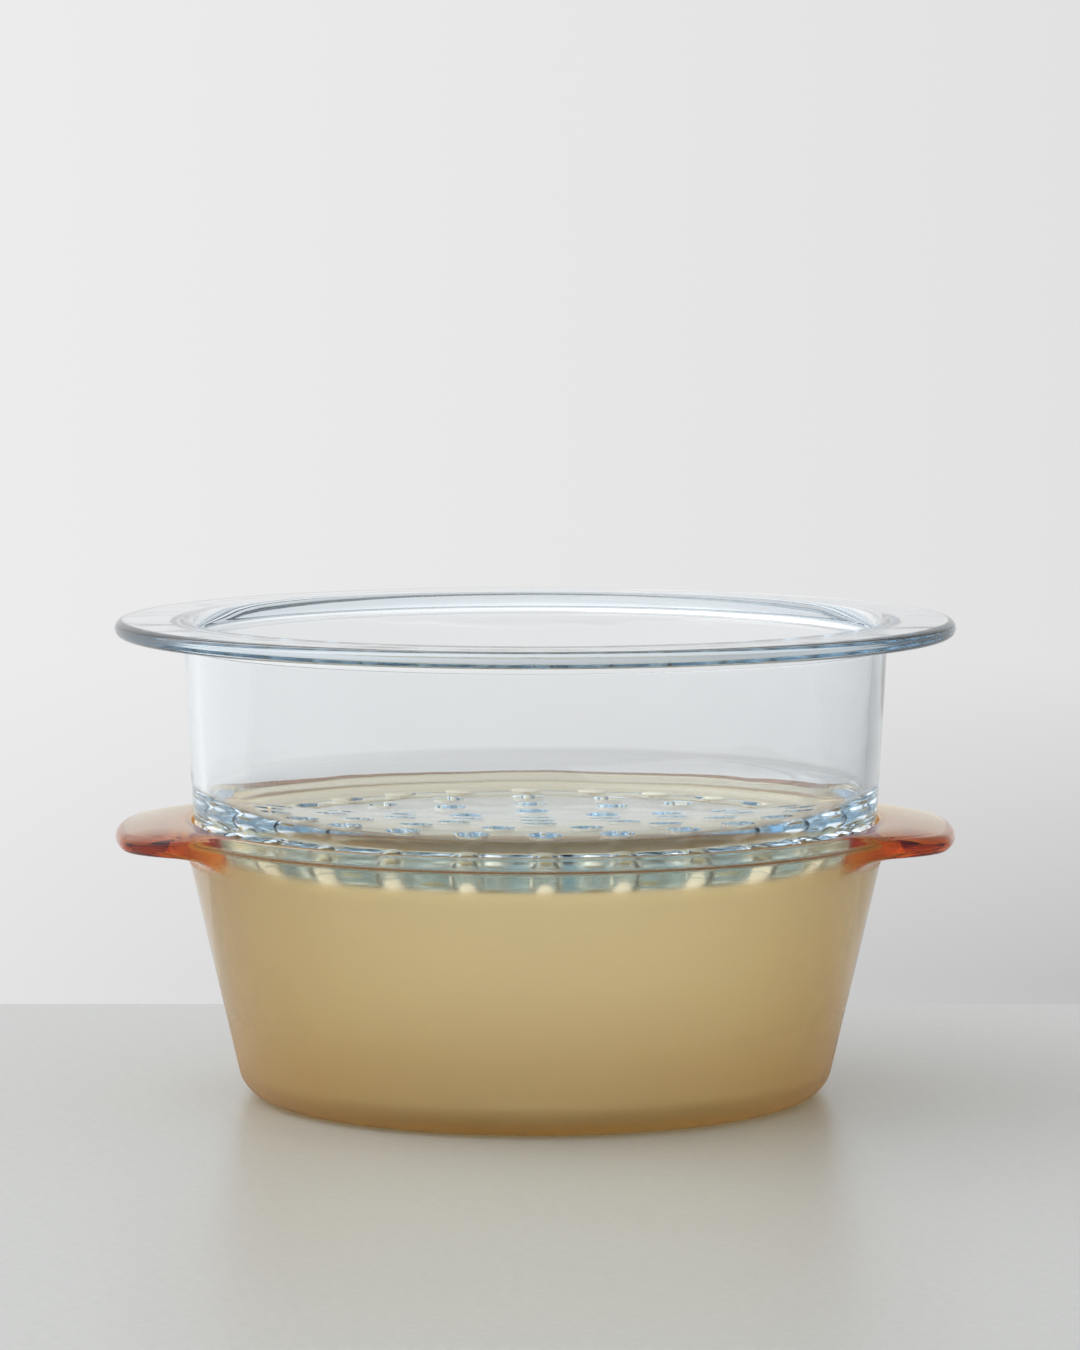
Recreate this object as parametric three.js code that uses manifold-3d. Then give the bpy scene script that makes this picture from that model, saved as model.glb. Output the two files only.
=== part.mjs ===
// Steam cooker: an amber glass-ceramic pot with two moulded lugs, and a clear pressed-glass steamer
// that lies loose in the seat of the pot's mouth. Millimetres, +Z up, table at z = 0, lugs along X.
import * as THREE from 'three';
import { mergeVertices } from 'three/addons/utils/BufferGeometryUtils.js';
import Module from 'manifold-3d';

const wasm = await Module();
wasm.setup();

// Pot
const POT_RIM_RADIUS = 120.7; // outside of the rim
const POT_HEIGHT = 94.3; // table to the top of the rim
const POT_FLARE_DEG = 13; // lean of the wall from upright
const POT_WALL = 5; // square to the wall
const POT_FLOOR = 4.2; // glass in the middle of the base
const POT_HEEL = 11; // outside radius where the wall turns into the base
const POT_BED = 7; // inside radius where the wall meets the floor
const FOOT_WIDTH = 9; // flat ring that stands on the table
const FOOT_HOLLOW = 0.8; // depth of the shallow hollow inside the foot ring
const FOOT_RAMP = 3; // width of the slope from the foot ring up to the hollow

// Rim of the pot: a flat-topped lip outside, a step inside that carries a lid or the steamer
const SEAT_WIDTH = 2.1; // from the inside of the wall out to the lip
const SEAT_DEPTH = 4.8; // top of the rim to the step
const SEAT_ROUND = 1; // rounded inner edge of the step, where the steamer rests
const SEAT_CORNER = 0.8; // small hollow radius between the lip and the step
const LIP_ROUND = 0.9; // both top edges of the lip

// Lugs, moulded on the rim
const LUG_REACH = 23; // tip of a lug, out from the wall
const LUG_HALF_ANGLE_DEG = 33; // where the lug has run out into the wall
const LUG_FULLNESS = 1.6; // power of the bell that draws the lug's outline: lower is blunter
const LUG_THICKNESS = 8.5; // at the outer edge
const LUG_ROUND = 4.1; // roundings above and below along that edge
const LUG_ROOT = 15; // depth below the rim where the underside has swept into the wall
const LUG_SWEEP = 4; // pull of the sweep along the wall
const LUG_FLAT = 16; // pull of the sweep along the underside
const LUG_DROP = 0.3; // top of the lug's edge below the top of the rim

// Steamer
const STEAMER_HEIGHT = 80.8; // underside of the floor to the top of the flange
const STEAMER_TAPER_DEG = 3; // lean of the wall from upright
const STEAMER_WALL = 4.7; // square to the wall
const STEAMER_FLOOR = 8; // thickness of the perforated floor
const STEAMER_HEEL = 15.5; // outside radius where the wall turns into the floor
const STEAMER_BED = 12; // inside radius where the wall meets the floor
const STEAMER_TURN_DEG = 2; // the loose steamer lies slightly turned
const NEST_CLEARANCE = 0.4; // round the steamer, inside the lip
const SEAT_GAP = 0.3; // between the steamer's heel and the edge of the step

// Flange of the steamer
const FLANGE_OVERHANG = 23; // out from the wall
const FLANGE_THICKNESS = 5.6; // its outer edge is rounded right round
const FLANGE_FILLET = 4.5; // hollow radius between the wall and the underside
const MOUTH_ROUND = 5; // rounding from the flange's top into the mouth

// Steam holes, in rings about a centre hole
const HOLE_TOP_RADIUS = 5.6;
const HOLE_BOTTOM_RADIUS = 5.1; // the holes narrow downwards, as moulding pins do
const HOLE_MARGIN = 0.9; // flat floor left outside the outer ring
const RING_PITCH = 21.5; // from ring to ring
const HOLE_SPACING = 31; // along the inner rings
const OUTER_HOLE_SPACING = 24.6; // along the outer ring
const HOLE_OVERSHOOT = 1; // how far the cut runs past both faces

// Facets
const TURN_STEPS = 72; // round the axis
const BEND_STEP_DEG = 22.5; // along an arc of a profile
const SWEEP_STEPS = 7; // along the sweep under a lug
const HOLE_SIDES = 12;

const radians = THREE.MathUtils.degToRad;
const potLean = radians(POT_FLARE_DEG);
const steamerLean = radians(STEAMER_TAPER_DEG);

// Points along an arc in a (radius, height) profile, angles in degrees from the outward direction.
function arc(radius, height, bend, fromDeg, toDeg) {
  const steps = Math.max(2, Math.ceil(Math.abs(toDeg - fromDeg) / BEND_STEP_DEG));
  return Array.from({ length: steps + 1 }, (_, i) => {
    const angle = radians(fromDeg + ((toDeg - fromDeg) * i) / steps);
    return new THREE.Vector2(radius + bend * Math.cos(angle), height + bend * Math.sin(angle));
  });
}

// A profile turned about the upright axis. It runs along the underside, up the outside, down the inside.
function revolve(profile) {
  return new THREE.LatheGeometry(profile, TURN_STEPS).rotateX(Math.PI / 2);
}

// A closed geometry as a solid, with its equal corners merged.
function solid(geometry) {
  geometry.deleteAttribute('normal');
  geometry.deleteAttribute('uv');
  const merged = mergeVertices(geometry);
  const corners = merged.index.array;
  const triVerts = [];
  for (let i = 0; i < corners.length; i += 3) {
    const [a, b, c] = corners.slice(i, i + 3);
    if (a !== b && b !== c && c !== a) triVerts.push(a, b, c);
  }
  const vertProperties = new Float32Array(merged.attributes.position.array);
  const mesh = new wasm.Mesh({ numProp: 3, vertProperties, triVerts: new Uint32Array(triVerts) });
  return new wasm.Manifold(mesh);
}

function named(name, shape, material) {
  const { vertProperties, triVerts } = shape.getMesh();
  const geometry = new THREE.BufferGeometry();
  geometry.setAttribute('position', new THREE.BufferAttribute(vertProperties, 3));
  geometry.setIndex(new THREE.BufferAttribute(triVerts, 1));
  geometry.computeVertexNormals();
  const mesh = new THREE.Mesh(geometry, material);
  mesh.name = name;
  return mesh;
}

// Lines of the pot's wall: radius at a height
const potOutside = (z) => POT_RIM_RADIUS + (z - POT_HEIGHT) * Math.tan(potLean);
const potInside = (z) => potOutside(z) - POT_WALL / Math.cos(potLean);
const seatHeight = POT_HEIGHT - SEAT_DEPTH;
const lipInside = potInside(seatHeight) + SEAT_WIDTH;

// Centre of the rounded inner edge of the step
const seatEdgeHeight = seatHeight - SEAT_ROUND;
const seatEdgeRadius = potInside(seatEdgeHeight) + SEAT_ROUND / Math.cos(potLean);

// Outer edge of the lip, which touches the wall and the flat top, and the plain outside of the pot with it
const lipHeight = POT_HEIGHT - LIP_ROUND;
const lipEdge = potOutside(lipHeight) - LIP_ROUND / Math.cos(potLean);
const lipStart = lipHeight - LIP_ROUND * Math.sin(potLean);
const rimOutside = (z) =>
  z < lipStart ? potOutside(z) : lipEdge + Math.sqrt(LIP_ROUND ** 2 - (z - lipHeight) ** 2);

// Section through the middle of a lug, from where its underside leaves the wall to the top of its edge
const lugTop = POT_HEIGHT - LUG_DROP;
const lugBottom = lugTop - LUG_THICKNESS;
const lugEdge = potOutside((lugTop + lugBottom) / 2) + LUG_REACH - LUG_ROUND;
function lugSection() {
  const edge = [
    ...arc(lugEdge, lugBottom + LUG_ROUND, LUG_ROUND, -90, 0),
    ...arc(lugEdge, lugTop - LUG_ROUND, LUG_ROUND, 0, 90),
  ];
  const root = POT_HEIGHT - LUG_ROOT;
  const alongWall = root + LUG_SWEEP;
  const sweep = new THREE.CubicBezierCurve(
    new THREE.Vector2(potOutside(root), root),
    new THREE.Vector2(potOutside(alongWall), alongWall),
    new THREE.Vector2(lugEdge - LUG_FLAT, lugBottom),
    edge[0],
  );
  return [...sweep.getPoints(SWEEP_STEPS).slice(0, -1), ...edge];
}

// How far a lug is drawn out at a place round the rim: all the way on the X axis, not at all past its ends
function lugShare(x, y) {
  const share = Math.atan2(Math.abs(y), Math.abs(x)) / radians(LUG_HALF_ANGLE_DEG);
  return share < 1 ? Math.cos((share * Math.PI) / 2) ** LUG_FULLNESS : 0;
}

// How far a point of the lug's section stands out from the wall where a share of the lug is drawn out.
// The sweep keeps its shape beside the wall, and the flat part of the underside gets shorter.
function standOut(point, share) {
  const full = point.x - rimOutside(point.y);
  if (share === 0 || point.y >= lugBottom) return full * share;
  const flat = lugEdge - potOutside(lugBottom);
  const left = Math.max(0, 1 - full / flat);
  return flat * share * (1 - left ** (1 / share));
}

// The pot is turned with a plain rim, and the lugs are then drawn out of the rim as smooth bells.
function potBody() {
  const heelRadius = potOutside(POT_HEEL) - POT_HEEL / Math.cos(potLean);
  const footInside = heelRadius - FOOT_WIDTH;
  const floorTop = FOOT_HOLLOW + POT_FLOOR;
  const bedHeight = floorTop + POT_BED;
  const bedRadius = potInside(bedHeight) - POT_BED / Math.cos(potLean);
  const drawn = lugSection();
  const below = [
    new THREE.Vector2(0, FOOT_HOLLOW),
    new THREE.Vector2(footInside - FOOT_RAMP, FOOT_HOLLOW),
    new THREE.Vector2(footInside, 0),
    ...arc(heelRadius, POT_HEEL, POT_HEEL, -90, -POT_FLARE_DEG),
  ];
  const profile = [
    ...below,
    ...drawn.map((point) => new THREE.Vector2(rimOutside(point.y), point.y)),
    new THREE.Vector2(lipEdge, POT_HEIGHT),
    ...arc(lipInside + LIP_ROUND, lipHeight, LIP_ROUND, 90, 180),
    ...arc(lipInside - SEAT_CORNER, seatHeight + SEAT_CORNER, SEAT_CORNER, 0, -90),
    ...arc(seatEdgeRadius, seatEdgeHeight, SEAT_ROUND, 90, 180 - POT_FLARE_DEG),
    ...arc(bedRadius, bedHeight, POT_BED, -POT_FLARE_DEG, -90),
    new THREE.Vector2(0, floorTop),
  ];
  const geometry = revolve(profile);
  const corners = geometry.attributes.position;
  for (let i = 0; i < corners.count; i += 1) {
    const point = drawn[(i % profile.length) - below.length];
    if (point) {
      const share = lugShare(corners.getX(i), corners.getY(i));
      const scale = 1 + standOut(point, share) / rimOutside(point.y);
      corners.setXY(i, corners.getX(i) * scale, corners.getY(i) * scale);
    }
  }
  return geometry;
}

function makePot() {
  const glassCeramic = new THREE.MeshStandardMaterial({
    color: 0xc79a4e,
    roughness: 0.25,
    metalness: 0,
    transparent: true,
    opacity: 0.85,
  });
  return named('pot', solid(potBody()), glassCeramic);
}

// Lines of the steamer's wall, in its own frame with the underside of its floor at z = 0
const steamerHeelRadius = lipInside - NEST_CLEARANCE;
const steamerOutside = (z) => steamerHeelRadius + (z - STEAMER_HEEL) * Math.tan(steamerLean);
const steamerInside = (z) => steamerOutside(z) - STEAMER_WALL / Math.cos(steamerLean);
const heelCentre = steamerHeelRadius - STEAMER_HEEL / Math.cos(steamerLean);
const bedCentreHeight = STEAMER_FLOOR + STEAMER_BED;
const bedCentre = steamerInside(bedCentreHeight) - STEAMER_BED / Math.cos(steamerLean);

// The round heel comes to rest on the round edge of the step, which sets how deep the steamer sits.
const restReach = STEAMER_HEEL + SEAT_ROUND + SEAT_GAP;
const restRise = Math.sqrt(restReach ** 2 - (seatEdgeRadius - heelCentre) ** 2);
const steamerHeight = seatEdgeHeight + restRise - STEAMER_HEEL;

function steamerBody() {
  const flangeUnder = STEAMER_HEIGHT - FLANGE_THICKNESS;
  const filletHeight = flangeUnder - FLANGE_FILLET;
  const filletRadius = steamerOutside(filletHeight) + FLANGE_FILLET / Math.cos(steamerLean);
  const edgeRound = FLANGE_THICKNESS / 2;
  const edgeRadius = steamerOutside(flangeUnder) + FLANGE_OVERHANG - edgeRound;
  const mouthHeight = STEAMER_HEIGHT - MOUTH_ROUND;
  const mouthRadius = steamerInside(mouthHeight) + MOUTH_ROUND / Math.cos(steamerLean);
  return revolve([
    new THREE.Vector2(0, 0),
    ...arc(heelCentre, STEAMER_HEEL, STEAMER_HEEL, -90, -STEAMER_TAPER_DEG),
    ...arc(filletRadius, filletHeight, FLANGE_FILLET, 180 - STEAMER_TAPER_DEG, 90),
    ...arc(edgeRadius, flangeUnder + edgeRound, edgeRound, -90, 90),
    ...arc(mouthRadius, mouthHeight, MOUTH_ROUND, 90, 180 - STEAMER_TAPER_DEG),
    ...arc(bedCentre, bedCentreHeight, STEAMER_BED, -STEAMER_TAPER_DEG, -90),
    new THREE.Vector2(0, STEAMER_FLOOR),
  ]);
}

// One steam hole to cut away, at a place on the floor
function steamHole(x, y) {
  const draft = (HOLE_TOP_RADIUS - HOLE_BOTTOM_RADIUS) / STEAMER_FLOOR;
  const top = HOLE_TOP_RADIUS + draft * HOLE_OVERSHOOT;
  const bottom = HOLE_BOTTOM_RADIUS - draft * HOLE_OVERSHOOT;
  const depth = STEAMER_FLOOR + 2 * HOLE_OVERSHOOT;
  const pin = new THREE.CylinderGeometry(top, bottom, depth, HOLE_SIDES).rotateX(Math.PI / 2);
  return solid(pin.translate(x, y, STEAMER_FLOOR / 2));
}

// Rings step inwards from the edge of the flat floor, and each has one hole on the same line.
function steamHoles() {
  const holes = [steamHole(0, 0)];
  const outerRing = bedCentre - HOLE_TOP_RADIUS - HOLE_MARGIN;
  for (let ring = outerRing; ring > RING_PITCH; ring -= RING_PITCH) {
    const spacing = ring === outerRing ? OUTER_HOLE_SPACING : HOLE_SPACING;
    const count = Math.round((2 * Math.PI * ring) / spacing);
    for (let i = 0; i < count; i += 1) {
      const angle = Math.PI / 2 + (2 * Math.PI * i) / count;
      holes.push(steamHole(ring * Math.cos(angle), ring * Math.sin(angle)));
    }
  }
  return holes;
}

function makeSteamer() {
  const body = steamHoles().reduce((shape, hole) => shape.subtract(hole), solid(steamerBody()));
  const clearGlass = new THREE.MeshStandardMaterial({
    color: 0xdfe9ec,
    roughness: 0.05,
    metalness: 0,
    transparent: true,
    opacity: 0.35,
  });
  const steamer = named('steamer', body, clearGlass);
  steamer.position.z = steamerHeight;
  steamer.rotation.z = radians(STEAMER_TURN_DEG);
  return steamer;
}

const steamCooker = new THREE.Group();
steamCooker.add(makePot(), makeSteamer());

export default steamCooker;
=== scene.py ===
"""Steam cooker: an amber glass-ceramic pot with a clear glass steamer lying loose in its mouth.

Metres, +Z up."""
import math

import bmesh
import bpy
from mathutils import Matrix, Vector


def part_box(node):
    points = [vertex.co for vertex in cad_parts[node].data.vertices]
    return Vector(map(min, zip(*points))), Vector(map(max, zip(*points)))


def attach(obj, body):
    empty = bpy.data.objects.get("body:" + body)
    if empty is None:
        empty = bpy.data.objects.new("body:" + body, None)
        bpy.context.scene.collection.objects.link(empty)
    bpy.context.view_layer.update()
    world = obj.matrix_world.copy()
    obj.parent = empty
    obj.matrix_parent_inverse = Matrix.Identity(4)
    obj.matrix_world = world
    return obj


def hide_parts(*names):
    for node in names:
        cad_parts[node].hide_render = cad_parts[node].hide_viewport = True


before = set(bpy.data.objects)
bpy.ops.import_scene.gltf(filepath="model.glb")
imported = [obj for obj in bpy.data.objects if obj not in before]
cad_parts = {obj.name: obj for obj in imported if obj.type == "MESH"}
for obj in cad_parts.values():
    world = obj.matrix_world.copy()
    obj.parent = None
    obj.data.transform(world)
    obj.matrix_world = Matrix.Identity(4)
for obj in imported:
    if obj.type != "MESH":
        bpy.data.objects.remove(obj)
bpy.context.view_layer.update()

# Pot
# One thick piece of amber glass-ceramic, pressed in a mould and fire-polished, so every edge is round.
# The wall leans out from a narrow foot ring, and two flat lugs are drawn out of the rim in one piece.
# Steam has fogged the inside below the steamer, and the outside gets duller towards the base.
POT_RIM_RADIUS = 0.1207  # outside of the rim
POT_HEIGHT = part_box("pot")[1].z
POT_LEAN = math.radians(13)  # lean of the wall from upright
POT_WALL = 0.005
POT_FLOOR = 0.0042
POT_HEEL = 0.011  # outside radius between the wall and the base
POT_BED = 0.007  # inside radius between the wall and the floor
FOOT_WIDTH = 0.009
FOOT_HOLLOW = 0.0008
FOOT_RAMP = 0.003
SEAT_WIDTH = 0.0021  # step inside the rim, which carries the steamer
SEAT_DEPTH = 0.0048
SEAT_ROUND = 0.001
SEAT_CORNER = 0.0008
LIP_ROUND = 0.0009  # both top edges of the lip
LUG_REACH = 0.023
LUG_FULL_ANGLE = math.radians(13)  # to either side of the X axis, where a lug has its full reach
LUG_HALF_ANGLE = math.radians(31)  # and where it has run out into the rim
LUG_DROP = 0.0022  # fall of the crowned top from the rim to the lug's edge
LUG_DEPTH = 0.0088  # underside, below the rim
LUG_ROUND = 0.0032
LUG_ROOT = 0.015  # depth below the rim where the underside has swept into the wall
LUG_SWEEP = 0.004  # pull of the sweep along the wall
LUG_FLAT = 0.016  # pull of the sweep along the underside
SWEEP_STEPS = 24
COLUMNS = 256  # faces round the axis
ARC_STEP_DEG = 6
LEAST_ARC_STEPS = 3
SUPPORT = 0.0005  # extra points this far inside the ends of a straight stretch keep its shading straight
LONG_STRETCH = 0.002  # and are set only where it is longer than this
FOG_TOP = 0.0865  # where the fog inside has thinned out to the haze of the lip
FOG_FULL = 0.0785  # and where it has its full strength
LUG_HAZE = 0.6  # fog on the underside of the lugs, which is duller than the polished outside
LIP_HAZE = 0.3  # on the inside of the lip
SEAT_HAZE = 1.0  # on the step, which the steamer has worn dull
BASE_HAZE = 0.8  # on the underside, from where it fades out up the wall to the root of the lugs
AMBER_IOR = 1.53
AMBER_ABSORPTION = (0.972, 0.768, 0.125, 1.0)
AMBER_DENSITY = 102.0  # per metre
AMBER_RIPPLE = 0.00005  # height of the ripple
AMBER_FOG = (0.5, 0.62)  # least and greatest roughness of the fogged faces


def arc(radius, height, bend, start_deg, end_deg):
    """Points of a round stretch of a section, with angles from the outward direction."""
    steps = max(LEAST_ARC_STEPS, round(abs(end_deg - start_deg) / ARC_STEP_DEG))
    turns = [math.radians(start_deg + (end_deg - start_deg) * i / steps) for i in range(steps + 1)]
    return [Vector((radius + bend * math.cos(turn), height + bend * math.sin(turn))) for turn in turns]


def supported(section):
    """The section with two extra points just inside the ends of each long straight stretch.

    A section is a list of (plain, drawn) points: without a lug, and in the middle of one."""
    result = []
    for here, after in zip(section, section[1:]):
        result.append(here)
        length = max((b - a).length for a, b in zip(here, after))
        if length > LONG_STRETCH:
            for share in (SUPPORT / length, 1 - SUPPORT / length):
                result.append(tuple(a.lerp(b, share) for a, b in zip(here, after)))
    return result + section[-1:]


def turned(mesh, section, drawn_out=lambda plain, drawn, angle: plain):
    """Turn a section about the upright axis in a bmesh, and give back one ring for each of its points."""
    rings = []
    for plain, drawn in section:
        if plain.x == 0:
            rings.append([mesh.verts.new((0, 0, plain.y))])
            continue
        ring = []
        for column in range(COLUMNS):
            angle = 2 * math.pi * column / COLUMNS
            point = drawn_out(plain, drawn, angle)
            ring.append(mesh.verts.new((point.x * math.cos(angle), point.x * math.sin(angle), point.y)))
        rings.append(ring)
    for lower, upper in zip(rings, rings[1:]):
        for column in range(COLUMNS):
            after = (column + 1) % COLUMNS
            corners = [lower[column % len(lower)], lower[after % len(lower)]]
            corners += [upper[after % len(upper)], upper[column % len(upper)]]
            mesh.faces.new(list(dict.fromkeys(corners)))
    return rings


def finished(name, mesh, material):
    """The bmesh as an object of its own, smooth, with its faces pointing out."""
    bmesh.ops.recalc_face_normals(mesh, faces=mesh.faces)
    data = bpy.data.meshes.new(name)
    mesh.to_mesh(data)
    mesh.free()
    data.shade_smooth()
    data.materials.append(material)
    piece = bpy.data.objects.new(name, data)
    bpy.context.scene.collection.objects.link(piece)
    return piece


def pot_outside(height):
    return POT_RIM_RADIUS + (height - POT_HEIGHT) * math.tan(POT_LEAN)


def pot_inside(height):
    return pot_outside(height) - POT_WALL / math.cos(POT_LEAN)


SEAT_HEIGHT = POT_HEIGHT - SEAT_DEPTH
LIP_INSIDE = pot_inside(SEAT_HEIGHT) + SEAT_WIDTH
LIP_HEIGHT = POT_HEIGHT - LIP_ROUND
LIP_EDGE = pot_outside(LIP_HEIGHT) - LIP_ROUND / math.cos(POT_LEAN)  # centre of the outer rounding


def rim_outside(height):
    """Radius of the pot's plain outside, up to the flat top of its lip."""
    if height < LIP_HEIGHT - LIP_ROUND * math.sin(POT_LEAN):
        return pot_outside(height)
    return LIP_EDGE + math.sqrt(LIP_ROUND**2 - (height - LIP_HEIGHT) ** 2)


LUG_TOP = POT_HEIGHT - LUG_DROP
LUG_BOTTOM = POT_HEIGHT - LUG_DEPTH
LUG_HEIGHT = POT_HEIGHT - LUG_ROOT  # where a lug begins to leave the wall
LUG_EDGE = pot_outside((LUG_TOP + LUG_BOTTOM) / 2) + LUG_REACH - LUG_ROUND  # centre of its rounded edge


def lug_section():
    """(plain, drawn) points from the root of a lug, round its edge and over its top to the rim."""
    pulls = (
        Vector((pot_outside(LUG_HEIGHT), LUG_HEIGHT)),
        Vector((pot_outside(LUG_HEIGHT + LUG_SWEEP), LUG_HEIGHT + LUG_SWEEP)),
        Vector((LUG_EDGE - LUG_FLAT, LUG_BOTTOM)),
        Vector((LUG_EDGE, LUG_BOTTOM)),
    )
    drawn = []
    for step in range(SWEEP_STEPS):
        t = step / SWEEP_STEPS
        weights = ((1 - t) ** 3, 3 * t * (1 - t) ** 2, 3 * t**2 * (1 - t), t**3)
        drawn.append(sum((pull * weight for pull, weight in zip(pulls, weights)), Vector((0, 0))))
    drawn += arc(LUG_EDGE, LUG_BOTTOM + LUG_ROUND, LUG_ROUND, -90, 0)
    drawn += arc(LUG_EDGE, LUG_TOP - LUG_ROUND, LUG_ROUND, 0, 90)
    pairs = [(Vector((rim_outside(point.y), point.y)), point) for point in drawn]
    lip = arc(LIP_EDGE, LIP_HEIGHT, LIP_ROUND, -math.degrees(POT_LEAN), 90)
    for step, plain in enumerate(lip, 1):
        left = 1 - step / len(lip)
        crowned = POT_HEIGHT - LUG_DROP * left**2
        pairs.append((plain, Vector((LIP_EDGE + (LUG_EDGE - LIP_EDGE) * left, crowned))))
    return pairs


def lug_share(angle):
    """How far a lug is drawn out at an angle round the rim: all the way on the X axis, 0 past its ends."""
    away = math.atan2(abs(math.sin(angle)), abs(math.cos(angle)))
    past = min(max((away - LUG_FULL_ANGLE) / (LUG_HALF_ANGLE - LUG_FULL_ANGLE), 0.0), 1.0)
    return 1 - past**2 * (3 - 2 * past)


def lug_drawn_out(plain, drawn, angle):
    """A point of the section at an angle round the rim.

    The sweep under the lug keeps its shape beside the wall, and the flat underside gets shorter."""
    share = lug_share(angle)
    if share == 0 or drawn.y >= LUG_BOTTOM or drawn.x <= plain.x:
        return plain.lerp(drawn, share)
    flat = LUG_EDGE - pot_outside(LUG_BOTTOM)
    left = max(0.0, 1 - (drawn.x - plain.x) / flat)
    return Vector((plain.x + flat * share * (1 - left ** (1 / share)), plain.y))


def both(points):
    """Points of a section that are the same with and without a lug."""
    return [(point, point) for point in points]


WAVE_DETAIL = 1.0
FILM_DETAIL = 6.0
FILM_DISTORTION = 0.6
FILM_START = 0.45  # noise where the film begins, and where it is full
FILM_FULL = 0.8
DROPS_DETAIL = 4.0


def pressed_glass_group():
    """Ripple of pressed glass as a height, and its faint film and its fog, where marked, as a roughness."""
    group = bpy.data.node_groups.new("pressed_glass", "ShaderNodeTree")
    sockets = group.interface
    values = {
        "Wave Scale": 40.0,  # noise cells in a metre
        "Film Scale": 60.0,
        "Fog Scale": 35.0,
        "Clean": 0.0,  # roughness without the film, and with it
        "Filmed": 0.03,
        "Fog": 0.0,  # mark on the mesh, and the least and greatest roughness where it is full
        "Fog Thin": AMBER_FOG[0],
        "Fog Thick": AMBER_FOG[1],
    }
    for label, value in values.items():
        socket = sockets.new_socket(label, in_out="INPUT", socket_type="NodeSocketFloat")
        socket.default_value = value
    for label in ("Ripple", "Roughness"):
        sockets.new_socket(label, in_out="OUTPUT", socket_type="NodeSocketFloat")
    nodes, links = group.nodes, group.links
    inputs = nodes.new("NodeGroupInput")
    outputs = nodes.new("NodeGroupOutput")
    place = nodes.new("ShaderNodeTexCoord")
    wave = nodes.new("ShaderNodeTexNoise")
    wave.inputs["Detail"].default_value = WAVE_DETAIL
    film = nodes.new("ShaderNodeTexNoise")
    film.inputs["Detail"].default_value = FILM_DETAIL
    film.inputs["Distortion"].default_value = FILM_DISTORTION
    film_spread = nodes.new("ShaderNodeMapRange")
    film_spread.inputs["From Min"].default_value = FILM_START
    film_spread.inputs["From Max"].default_value = FILM_FULL
    drops = nodes.new("ShaderNodeTexNoise")
    drops.inputs["Detail"].default_value = DROPS_DETAIL
    fog_spread = nodes.new("ShaderNodeMapRange")
    mix = nodes.new("ShaderNodeMix")
    for noise, scale in ((wave, "Wave Scale"), (film, "Film Scale"), (drops, "Fog Scale")):
        links.new(place.outputs["Object"], noise.inputs["Vector"])
        links.new(inputs.outputs[scale], noise.inputs["Scale"])
    for spread, noise, low, high in (
        (film_spread, film, "Clean", "Filmed"), (fog_spread, drops, "Fog Thin", "Fog Thick")
    ):
        links.new(noise.outputs["Fac"], spread.inputs["Value"])
        links.new(inputs.outputs[low], spread.inputs["To Min"])
        links.new(inputs.outputs[high], spread.inputs["To Max"])
    links.new(inputs.outputs["Fog"], mix.inputs["Factor"])
    links.new(film_spread.outputs["Result"], mix.inputs["A"])
    links.new(fog_spread.outputs["Result"], mix.inputs["B"])
    links.new(wave.outputs["Fac"], outputs.inputs["Ripple"])
    links.new(mix.outputs["Result"], outputs.inputs["Roughness"])
    return group


PRESSED_GLASS = pressed_glass_group()


def glass_material(name, ior, absorption, density, ripple_depth, fog):
    """Clear glass that absorbs inside, rippled and filmed on its surface, and fogged where marked."""
    material = bpy.data.materials.new(name)
    material.use_nodes = True
    nodes, links = material.node_tree.nodes, material.node_tree.links
    shader = nodes["Principled BSDF"]
    shader.inputs["Base Color"].default_value = (1, 1, 1, 1)
    shader.inputs["Transmission Weight"].default_value = 1.0
    shader.inputs["IOR"].default_value = ior
    inside = nodes.new("ShaderNodeVolumeAbsorption")
    inside.inputs["Color"].default_value = absorption
    inside.inputs["Density"].default_value = density
    links.new(inside.outputs["Volume"], nodes["Material Output"].inputs["Volume"])
    mark = nodes.new("ShaderNodeAttribute")
    mark.attribute_name = "fog"
    surface = nodes.new("ShaderNodeGroup")
    surface.node_tree = PRESSED_GLASS
    surface.inputs["Fog Thin"].default_value, surface.inputs["Fog Thick"].default_value = fog
    bump = nodes.new("ShaderNodeBump")
    bump.inputs["Strength"].default_value = 1.0
    bump.inputs["Distance"].default_value = ripple_depth
    links.new(mark.outputs["Fac"], surface.inputs["Fog"])
    links.new(surface.outputs["Ripple"], bump.inputs["Height"])
    links.new(bump.outputs["Normal"], shader.inputs["Normal"])
    links.new(surface.outputs["Roughness"], shader.inputs["Roughness"])
    return material


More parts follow.
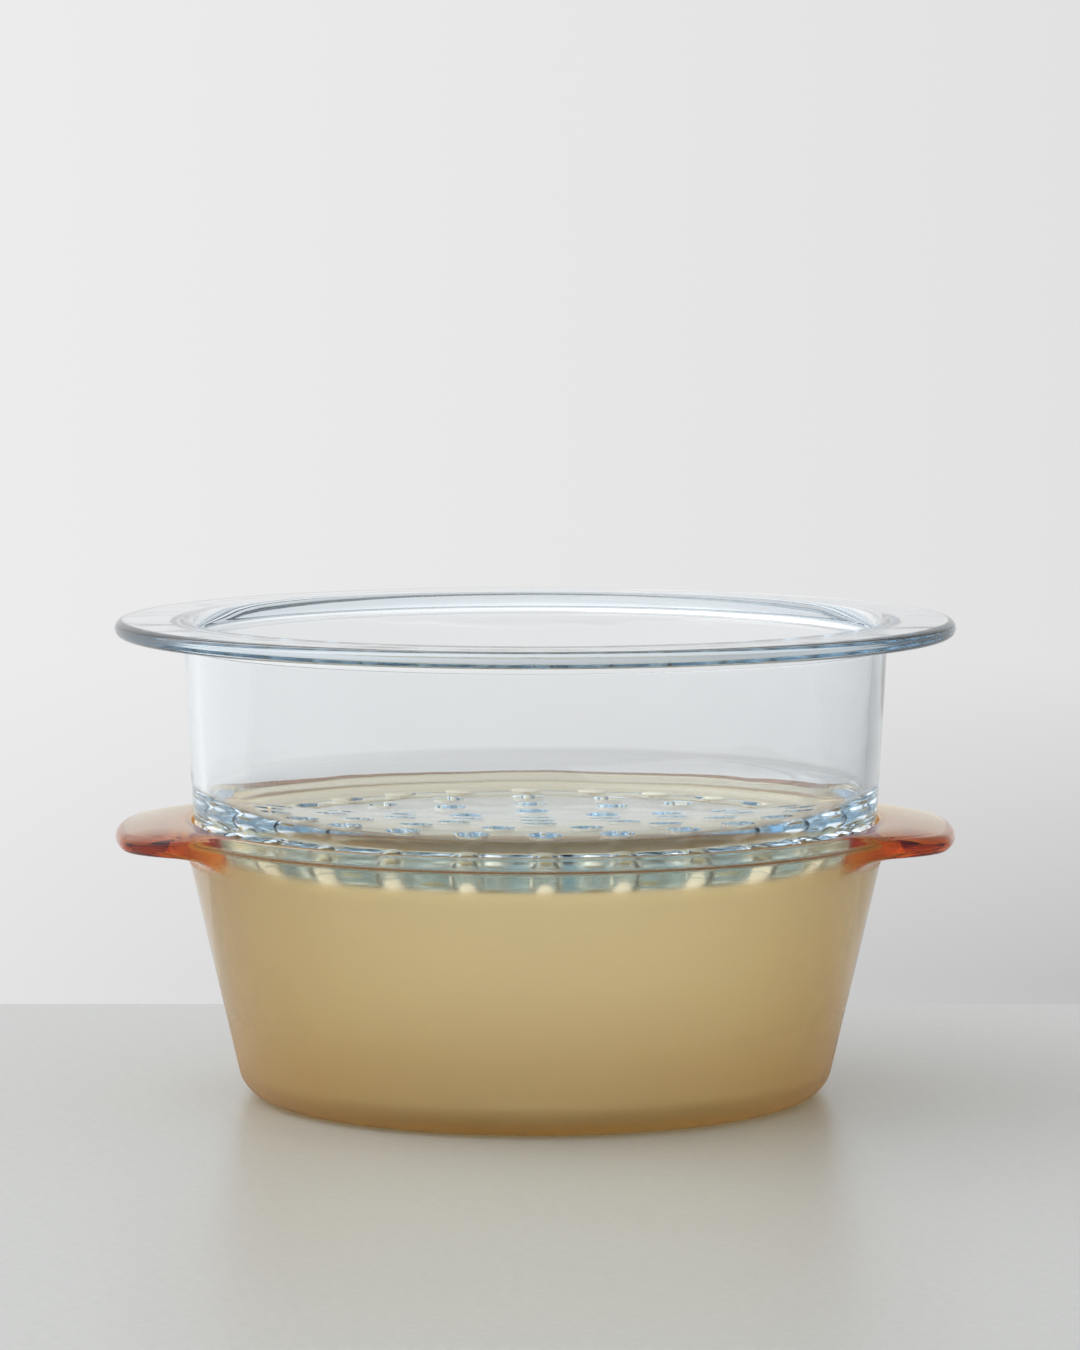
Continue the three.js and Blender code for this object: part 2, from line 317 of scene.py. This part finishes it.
def make_pot():
    heel_radius = pot_outside(POT_HEEL) - POT_HEEL / math.cos(POT_LEAN)
    foot_inside = heel_radius - FOOT_WIDTH
    floor_top = FOOT_HOLLOW + POT_FLOOR
    bed_height = floor_top + POT_BED
    bed_radius = pot_inside(bed_height) - POT_BED / math.cos(POT_LEAN)
    edge_height = SEAT_HEIGHT - SEAT_ROUND
    edge_radius = pot_inside(edge_height) + SEAT_ROUND / math.cos(POT_LEAN)
    lean_deg = math.degrees(POT_LEAN)
    outside = both([
        Vector((0, FOOT_HOLLOW)),
        Vector((foot_inside - FOOT_RAMP, FOOT_HOLLOW)),
        Vector((foot_inside, 0)),
        *arc(heel_radius, POT_HEEL, POT_HEEL, -90, -lean_deg),
    ])
    outside += lug_section()
    inside = both([
        *arc(LIP_INSIDE + LIP_ROUND, LIP_HEIGHT, LIP_ROUND, 90, 180),
        *arc(LIP_INSIDE - SEAT_CORNER, SEAT_HEIGHT + SEAT_CORNER, SEAT_CORNER, 0, -90),
        *arc(edge_radius, edge_height, SEAT_ROUND, 90, 180 - lean_deg),
        Vector((pot_inside(FOG_TOP), FOG_TOP)),
        Vector((pot_inside(FOG_FULL), FOG_FULL)),
        *arc(bed_radius, bed_height, POT_BED, -lean_deg, -90),
        Vector((0, floor_top)),
    ])
    mesh = bmesh.new()
    fog = mesh.verts.layers.float.new("fog")
    section = supported(outside + inside)
    rings = turned(mesh, section, lug_drawn_out)
    inside_start = len(supported(outside))
    for index, (ring, (_, drawn)) in enumerate(zip(rings, section)):
        for corner in ring:
            if index >= inside_start:
                rise = (corner.co.z - FOG_FULL) / (FOG_TOP - FOG_FULL)
                corner[fog] = 1 + (LIP_HAZE - 1) * min(max(rise, 0), 1)
                if abs(corner.co.z - SEAT_HEIGHT) < SEAT_ROUND:
                    corner[fog] = SEAT_HAZE
            elif corner.co.z < LUG_HEIGHT:
                corner[fog] = BASE_HAZE * (1 - corner.co.z / LUG_HEIGHT)
            elif drawn.y <= LUG_BOTTOM:
                corner[fog] = LUG_HAZE * lug_share(math.atan2(corner.co.y, corner.co.x))
    material = glass_material(
        "amber_glass_ceramic", AMBER_IOR, AMBER_ABSORPTION, AMBER_DENSITY, AMBER_RIPPLE, AMBER_FOG
    )
    return finished("glass_pot", mesh, material)


pot = make_pot()
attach(pot, "pot")
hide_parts("pot")

# Steamer
# A clear pressed-glass bowl with a wide flat flange and a thick floor pierced by rings of steam holes.
# The holes are left by the pins of the mould, so they narrow downwards. It lies loose: its round heel
# rests on the step inside the pot's rim.
STEAMER_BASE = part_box("steamer")[0].z
STEAMER_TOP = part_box("steamer")[1].z
STEAMER_LEAN_DEG = 3
STEAMER_WALL = 0.0047
STEAMER_FLOOR = 0.012
STEAMER_HEEL = 0.0155  # outside radius between the wall and the underside
STEAMER_BED = 0.014  # inside radius between the wall and the floor
STEAMER_TURN = math.radians(2)  # as it happens to lie in its seat
NEST_CLEARANCE = 0.0004  # to the inside of the pot's lip
FLANGE_OVERHANG = 0.023
FLANGE_THICKNESS = 0.0056
FLANGE_FILLET = 0.0045
MOUTH_ROUND = 0.005  # between the flange and the inside of the wall
HOLE_TOP_RADIUS = 0.0056
HOLE_BOTTOM_RADIUS = 0.0051
HOLE_MARGIN = 0.0009  # from the outer ring of holes to the edge of the flat floor
HOLE_EDGE = 0.0004  # rounding of the holes' edges
HOLE_COLLAR = 0.0002  # narrow flat ring round each hole
HOLE_SIDES = 32
RING_PITCH = 0.0215
HOLE_SPACING = 0.030  # along a ring
OUTER_HOLE_SPACING = 0.024  # along the outer ring
FLOOR_SUPPORT = 0.0001  # narrow flat ring inside the round corners
CLEAR_IOR = 1.5
CLEAR_ABSORPTION = (0.38, 0.66, 0.85, 1.0)
CLEAR_DENSITY = 10.0  # per metre
CLEAR_RIPPLE = 0.0001  # height of the ripple
CLEAR_FOG = (0.03, 0.08)  # least and greatest roughness of the steamed faces
STEAMED_HEIGHT = 0.0886  # below it, steam has lightly hazed the heel, the underside and the holes

STEAMER_LEAN = math.radians(STEAMER_LEAN_DEG)
HEEL_HEIGHT = STEAMER_BASE + STEAMER_HEEL
HEEL_RADIUS = LIP_INSIDE - NEST_CLEARANCE
FLOOR_TOP = STEAMER_BASE + STEAMER_FLOOR


def steamer_outside(height):
    return HEEL_RADIUS + (height - HEEL_HEIGHT) * math.tan(STEAMER_LEAN)


def steamer_inside(height):
    return steamer_outside(height) - STEAMER_WALL / math.cos(STEAMER_LEAN)


HEEL_CENTRE = HEEL_RADIUS - STEAMER_HEEL / math.cos(STEAMER_LEAN)
BED_HEIGHT = FLOOR_TOP + STEAMER_BED
BED_CENTRE = steamer_inside(BED_HEIGHT) - STEAMER_BED / math.cos(STEAMER_LEAN)


def steamer_section():
    """From the edge of the underside, up the outside, round the flange and down to the floor."""
    flange_under = STEAMER_TOP - FLANGE_THICKNESS
    fillet_height = flange_under - FLANGE_FILLET
    fillet_radius = steamer_outside(fillet_height) + FLANGE_FILLET / math.cos(STEAMER_LEAN)
    edge_round = FLANGE_THICKNESS / 2
    edge_radius = steamer_outside(flange_under) + FLANGE_OVERHANG - edge_round
    mouth_height = STEAMER_TOP - MOUTH_ROUND
    mouth_radius = steamer_inside(mouth_height) + MOUTH_ROUND / math.cos(STEAMER_LEAN)
    return supported(both([
        Vector((HEEL_CENTRE - FLOOR_SUPPORT, STEAMER_BASE)),
        *arc(HEEL_CENTRE, HEEL_HEIGHT, STEAMER_HEEL, -90, -STEAMER_LEAN_DEG),
        *arc(fillet_radius, fillet_height, FLANGE_FILLET, 180 - STEAMER_LEAN_DEG, 90),
        *arc(edge_radius, flange_under + edge_round, edge_round, -90, 90),
        *arc(mouth_radius, mouth_height, MOUTH_ROUND, 90, 180 - STEAMER_LEAN_DEG),
        *arc(BED_CENTRE, BED_HEIGHT, STEAMER_BED, -STEAMER_LEAN_DEG, -90),
        Vector((BED_CENTRE - FLOOR_SUPPORT, FLOOR_TOP)),
    ]))


def hole_places():
    """Centres of the steam holes: one in the middle, and rings stepping inwards from the floor's edge."""
    places = [(0.0, 0.0)]
    outer_ring = BED_CENTRE - HOLE_TOP_RADIUS - HOLE_MARGIN
    ring = outer_ring
    while ring > RING_PITCH:
        spacing = OUTER_HOLE_SPACING if ring == outer_ring else HOLE_SPACING
        count = round(2 * math.pi * ring / spacing)
        for i in range(count):
            angle = math.pi / 2 + 2 * math.pi * i / count
            places.append((ring * math.cos(angle), ring * math.sin(angle)))
        ring -= RING_PITCH
    return places


def pierce(mesh, place):
    """Line one steam hole, and give back its rings in the underside and in the top of the floor."""
    section = [
        Vector((HOLE_BOTTOM_RADIUS + HOLE_EDGE + HOLE_COLLAR, STEAMER_BASE)),
        *arc(HOLE_BOTTOM_RADIUS + HOLE_EDGE, STEAMER_BASE + HOLE_EDGE, HOLE_EDGE, -90, -180),
        *arc(HOLE_TOP_RADIUS + HOLE_EDGE, FLOOR_TOP - HOLE_EDGE, HOLE_EDGE, 180, 90),
        Vector((HOLE_TOP_RADIUS + HOLE_EDGE + HOLE_COLLAR, FLOOR_TOP)),
    ]
    turns = [2 * math.pi * side / HOLE_SIDES for side in range(HOLE_SIDES)]
    rings = []
    for point, _ in supported(both(section)):
        ring = []
        for turn in turns:
            away = point.x * Vector((math.cos(turn), math.sin(turn)))
            ring.append(mesh.verts.new((place[0] + away.x, place[1] + away.y, point.y)))
        rings.append(ring)
    for lower, upper in zip(rings, rings[1:]):
        for side in range(HOLE_SIDES):
            after = (side + 1) % HOLE_SIDES
            mesh.faces.new((lower[side], lower[after], upper[after], upper[side]))
    return rings[0], rings[-1]


def make_steamer():
    mesh = bmesh.new()
    rings = turned(mesh, steamer_section())
    faces = {"underside": [rings[0]], "top": [rings[-1]]}
    for place in hole_places():
        lower, upper = pierce(mesh, place)
        faces["underside"].append(lower)
        faces["top"].append(upper)
    for loops in faces.values():
        edges = [
            mesh.edges.get((loop[i - 1], loop[i])) for loop in loops for i in range(len(loop))
        ]
        bmesh.ops.triangle_fill(mesh, use_beauty=True, edges=edges, normal=(0, 0, 1))
    bmesh.ops.rotate(
        mesh, verts=mesh.verts, cent=(0, 0, 0), matrix=Matrix.Rotation(STEAMER_TURN, 3, "Z")
    )
    fog = mesh.verts.layers.float.new("fog")
    for corner in mesh.verts:
        corner[fog] = float(corner.co.z < STEAMED_HEIGHT)
    material = glass_material(
        "clear_glass", CLEAR_IOR, CLEAR_ABSORPTION, CLEAR_DENSITY, CLEAR_RIPPLE, CLEAR_FOG
    )
    return finished("glass_steamer", mesh, material)


steamer = make_steamer()
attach(steamer, "steamer")
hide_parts("steamer")

# Table
# A plain slab of pale stone with a fine grain and a soft polish.
# It ends a hand's width behind the pot, and the wall of the room stands far behind it.
TABLE_HALF_WIDTH = 1.5
TABLE_FRONT = -1.2
TABLE_BACK = 0.2
TABLE_GAP = 0.0002  # below the foot ring, so that the two faces don't coincide
TABLE_DARK = (0.37, 0.38, 0.37, 1.0)  # darkest and lightest grain
TABLE_LIGHT = (0.46, 0.47, 0.46, 1.0)
TABLE_ROUGHNESS = 0.3
GRAIN_SCALE = 300.0  # noise cells in a metre
GRAIN_DETAIL = 5.0


def make_table():
    material = bpy.data.materials.new("pale_slab")
    material.use_nodes = True
    nodes, links = material.node_tree.nodes, material.node_tree.links
    shader = nodes["Principled BSDF"]
    place = nodes.new("ShaderNodeTexCoord")
    grain = nodes.new("ShaderNodeTexNoise")
    grain.inputs["Scale"].default_value = GRAIN_SCALE
    grain.inputs["Detail"].default_value = GRAIN_DETAIL
    tone = nodes.new("ShaderNodeValToRGB")
    tone.color_ramp.elements[0].color = TABLE_DARK
    tone.color_ramp.elements[1].color = TABLE_LIGHT
    links.new(place.outputs["Object"], grain.inputs["Vector"])
    links.new(grain.outputs["Fac"], tone.inputs["Fac"])
    links.new(tone.outputs["Color"], shader.inputs["Base Color"])
    shader.inputs["Roughness"].default_value = TABLE_ROUGHNESS
    data = bpy.data.meshes.new("table")
    corners = [
        (-TABLE_HALF_WIDTH, TABLE_FRONT, -TABLE_GAP),
        (TABLE_HALF_WIDTH, TABLE_FRONT, -TABLE_GAP),
        (TABLE_HALF_WIDTH, TABLE_BACK, -TABLE_GAP),
        (-TABLE_HALF_WIDTH, TABLE_BACK, -TABLE_GAP),
    ]
    data.from_pydata(corners, [], [(0, 1, 2, 3)])
    data.materials.append(material)
    table = bpy.data.objects.new("table", data)
    bpy.context.scene.collection.objects.link(table)
    return table


make_table()

# Room light
# A pale wall behind, lit from a window on the left: it falls off to the right, and most near the table.
# The ceiling is brighter than the wall, and the room behind the camera is a little dimmer.
WALL_LEFT = 0.84  # brightness of the wall at the left and at the right edge of the picture
WALL_RIGHT = 0.76
WALL_SPAN = 0.1  # sideways direction of those edges
SHADE_LEFT = 0.92  # share of it that is left beside the table, at the same edges
SHADE_RIGHT = 0.70
SHADE_START = -0.085  # downward direction where the shade begins, and where it is full
SHADE_END = -0.143
CEILING = 1.4  # as a share of the wall
CEILING_START = 0.15  # upward direction where it begins, and where it is full
CEILING_FULL = 0.7
SIDE_LEFT = 1.4  # walls far to the left and to the right, as a share of the one behind
SIDE_RIGHT = 0.6
SIDE_START = 0.15  # sideways direction where they begin, and where they are full
SIDE_FULL = 0.9
ROOM_DIM = 0.95  # behind the camera, as a share of the wall
ROOM_FULL = -0.5  # forward direction where that is full, and where the wall begins
ROOM_END = 0.3


def light_room():
    world = bpy.data.worlds.new("room")
    bpy.context.scene.world = world
    world.use_nodes = True
    nodes, links = world.node_tree.nodes, world.node_tree.links
    place = nodes.new("ShaderNodeTexCoord")
    way = nodes.new("ShaderNodeSeparateXYZ")
    links.new(place.outputs["Generated"], way.inputs["Vector"])

    def falloff(axis, start, end, first, last, smooth=False):
        """A value that goes from first to last while a direction goes from start to end."""
        spread = nodes.new("ShaderNodeMapRange")
        spread.interpolation_type = "SMOOTHSTEP" if smooth else "LINEAR"
        spread.inputs["From Min"].default_value = start
        spread.inputs["From Max"].default_value = end
        spread.inputs["To Min"].default_value = first
        spread.inputs["To Max"].default_value = last
        links.new(way.outputs[axis], spread.inputs["Value"])
        return spread.outputs["Result"]

    def product(first, second):
        times = nodes.new("ShaderNodeMath")
        times.operation = "MULTIPLY"
        links.new(first, times.inputs[0])
        links.new(second, times.inputs[1])
        return times.outputs["Value"]

    wall = falloff("X", -WALL_SPAN, WALL_SPAN, WALL_LEFT, WALL_RIGHT)
    shade = nodes.new("ShaderNodeMix")
    links.new(falloff("Z", SHADE_START, SHADE_END, 0.0, 1.0), shade.inputs["Factor"])
    shade.inputs["A"].default_value = 1.0
    links.new(falloff("X", -WALL_SPAN, WALL_SPAN, SHADE_LEFT, SHADE_RIGHT), shade.inputs["B"])
    ceiling = falloff("Z", CEILING_START, CEILING_FULL, 1.0, CEILING, smooth=True)
    depth = falloff("Y", ROOM_FULL, ROOM_END, ROOM_DIM, 1.0, smooth=True)
    sides = product(
        falloff("X", -SIDE_START, -SIDE_FULL, 1.0, SIDE_LEFT, smooth=True),
        falloff("X", SIDE_START, SIDE_FULL, 1.0, SIDE_RIGHT, smooth=True),
    )
    back = product(wall, shade.outputs["Result"])
    tone = product(product(back, sides), product(ceiling, depth))
    links.new(tone, nodes["Background"].inputs["Color"])
    nodes["Background"].inputs["Strength"].default_value = 1.0


light_room()

# Window
# A large soft lamp high on the left, which gives the pot its light side and a faint shadow to the right.
WINDOW_PLACE = (-0.9, 0.05, 1.1)
WINDOW_SIZE = (1.8, 1.8)
WINDOW_WATTS = 10.0


def light_window():
    lamp = bpy.data.lights.new("window", "AREA")
    lamp.shape = "RECTANGLE"
    lamp.size, lamp.size_y = WINDOW_SIZE
    lamp.energy = WINDOW_WATTS
    window = bpy.data.objects.new("window", lamp)
    window.location = WINDOW_PLACE
    aim = Vector((0, 0, POT_HEIGHT)) - Vector(WINDOW_PLACE)
    window.rotation_euler = aim.to_track_quat("-Z", "Y").to_euler()
    bpy.context.scene.collection.objects.link(window)


light_window()

# Camera
# A long lens a little above the flange, tilted slightly down, as in the photograph.
CAMERA_PLACE = (0.0016, -1.859, 0.3076)
CAMERA_DOWN_DEG = 5.08  # below level
FOCAL_PIXELS = 5500
IMAGE_PIXELS = 1350  # long side of the picture
SENSOR = 36.0  # millimetres

lens = bpy.data.cameras.new("camera")
lens.sensor_width = SENSOR
lens.lens = SENSOR * FOCAL_PIXELS / IMAGE_PIXELS
camera = bpy.data.objects.new("camera", lens)
camera.location = CAMERA_PLACE
camera.rotation_euler = (math.radians(90 - CAMERA_DOWN_DEG), 0, 0)
bpy.context.scene.collection.objects.link(camera)
bpy.context.scene.camera = camera

# Picture
# Colours are shown as they are, without a film curve, and light may pass through many faces of glass.
GLASS_BOUNCES = 24  # enough for a ray to cross both pieces, near and far, with reflections inside
MIRROR_BOUNCES = 12

bpy.context.scene.view_settings.view_transform = "Standard"
bpy.context.scene.cycles.max_bounces = GLASS_BOUNCES
bpy.context.scene.cycles.transmission_bounces = GLASS_BOUNCES
bpy.context.scene.cycles.glossy_bounces = MIRROR_BOUNCES
